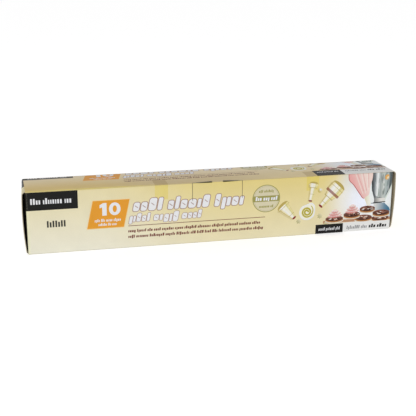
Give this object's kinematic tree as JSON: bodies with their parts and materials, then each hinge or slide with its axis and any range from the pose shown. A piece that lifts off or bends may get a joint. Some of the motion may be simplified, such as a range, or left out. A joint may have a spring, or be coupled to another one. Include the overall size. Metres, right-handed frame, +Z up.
{
  "type": "boxed piping bags",
  "caption": "Long printed folding carton with bowed tuck-in ends, dust flaps and a front dispensing tab, holding clear disposable piping bags wound on a roll.",
  "frame": {"origin": "middle of the carton's base, on the surface that it stands on", "axes": "+X along the carton, towards the right end as its main printed face is read; +Y from the main printed face to the back; +Z up"},
  "size_m": [0.2502, 0.033, 0.041],
  "materials": {
    "printed_board": "satin",
    "plain_board": "matte",
    "film": "gloss"
  },
  "bodies": {
    "carton": {"front_panel": "printed_board", "back_panel": "printed_board", "top_panel": "printed_board", "bottom_panel": "printed_board", "glue_flap": "plain_board", "right_lid_lip": "printed_board", "left_lid_lip": "printed_board"},
    "dispenser_tab": {"dispenser_tab": "printed_board"},
    "right_closure": {"right_end_closure": "printed_board"},
    "right_tongue": {"right_tuck_tongue": "plain_board"},
    "right_front_flap": {"right_front_dust_flap": "plain_board"},
    "right_back_flap": {"right_back_dust_flap": "plain_board"},
    "left_closure": {"left_end_closure": "printed_board"},
    "left_tongue": {"left_tuck_tongue": "plain_board"},
    "left_front_flap": {"left_front_dust_flap": "plain_board"},
    "left_back_flap": {"left_back_dust_flap": "plain_board"},
    "bag_roll": {"bag_01": "film", "bag_02": "film", "bag_03": "film", "bag_04": "film", "bag_05": "film", "bag_06": "film", "bag_07": "film", "bag_08": "film", "bag_09": "film", "bag_10": "film"}
  },
  "joints": [
    {"name": "tab_hinge", "type": "hinge", "parent": "carton", "child": "dispenser_tab", "pos_m": [0, -0.0165, 0.029], "axis": [1, 0, 0], "range_deg": [0, 150]},
    {"name": "right_closure_hinge", "type": "hinge", "parent": "carton", "child": "right_closure", "pos_m": [0.12414, 0, 0.04032], "axis": [0, -1, 0], "range_deg": [0, 170]},
    {"name": "right_tongue_fold", "type": "hinge", "parent": "right_closure", "child": "right_tongue", "pos_m": [0.12342, 0, 0.00047], "axis": [0, -1, 0], "range_deg": [0, 51]},
    {"name": "right_front_flap_hinge", "type": "hinge", "parent": "carton", "child": "right_front_flap", "pos_m": [0.1225, -0.0165, 0.02], "axis": [0, 0, -1], "range_deg": [0, 85]},
    {"name": "right_back_flap_hinge", "type": "hinge", "parent": "carton", "child": "right_back_flap", "pos_m": [0.1225, 0.0165, 0.02], "axis": [0, 0, 1], "range_deg": [0, 85]},
    {"name": "left_closure_hinge", "type": "hinge", "parent": "carton", "child": "left_closure", "pos_m": [-0.12414, 0, 0.04032], "axis": [0, 1, 0], "range_deg": [0, 170]},
    {"name": "left_tongue_fold", "type": "hinge", "parent": "left_closure", "child": "left_tongue", "pos_m": [-0.12342, 0, 0.00047], "axis": [0, 1, 0], "range_deg": [0, 51]},
    {"name": "left_front_flap_hinge", "type": "hinge", "parent": "carton", "child": "left_front_flap", "pos_m": [-0.1225, -0.0165, 0.02], "axis": [0, 0, 1], "range_deg": [0, 85]},
    {"name": "left_back_flap_hinge", "type": "hinge", "parent": "carton", "child": "left_back_flap", "pos_m": [-0.1225, 0.0165, 0.02], "axis": [0, 0, -1], "range_deg": [0, 85]},
    {"name": "roll_spin", "type": "hinge", "parent": "carton", "child": "bag_roll", "pos_m": [0, 0, 0.01487], "axis": [1, 0, 0], "continuous": true}
  ],
  "couplings": [
    {"joint": "right_tongue_fold", "follows": "right_closure_hinge", "ratio": 0.3},
    {"joint": "right_front_flap_hinge", "follows": "right_closure_hinge", "ratio": 0.5},
    {"joint": "right_back_flap_hinge", "follows": "right_closure_hinge", "ratio": 0.5},
    {"joint": "left_tongue_fold", "follows": "left_closure_hinge", "ratio": 0.3},
    {"joint": "left_front_flap_hinge", "follows": "left_closure_hinge", "ratio": 0.5},
    {"joint": "left_back_flap_hinge", "follows": "left_closure_hinge", "ratio": 0.5}
  ]
}
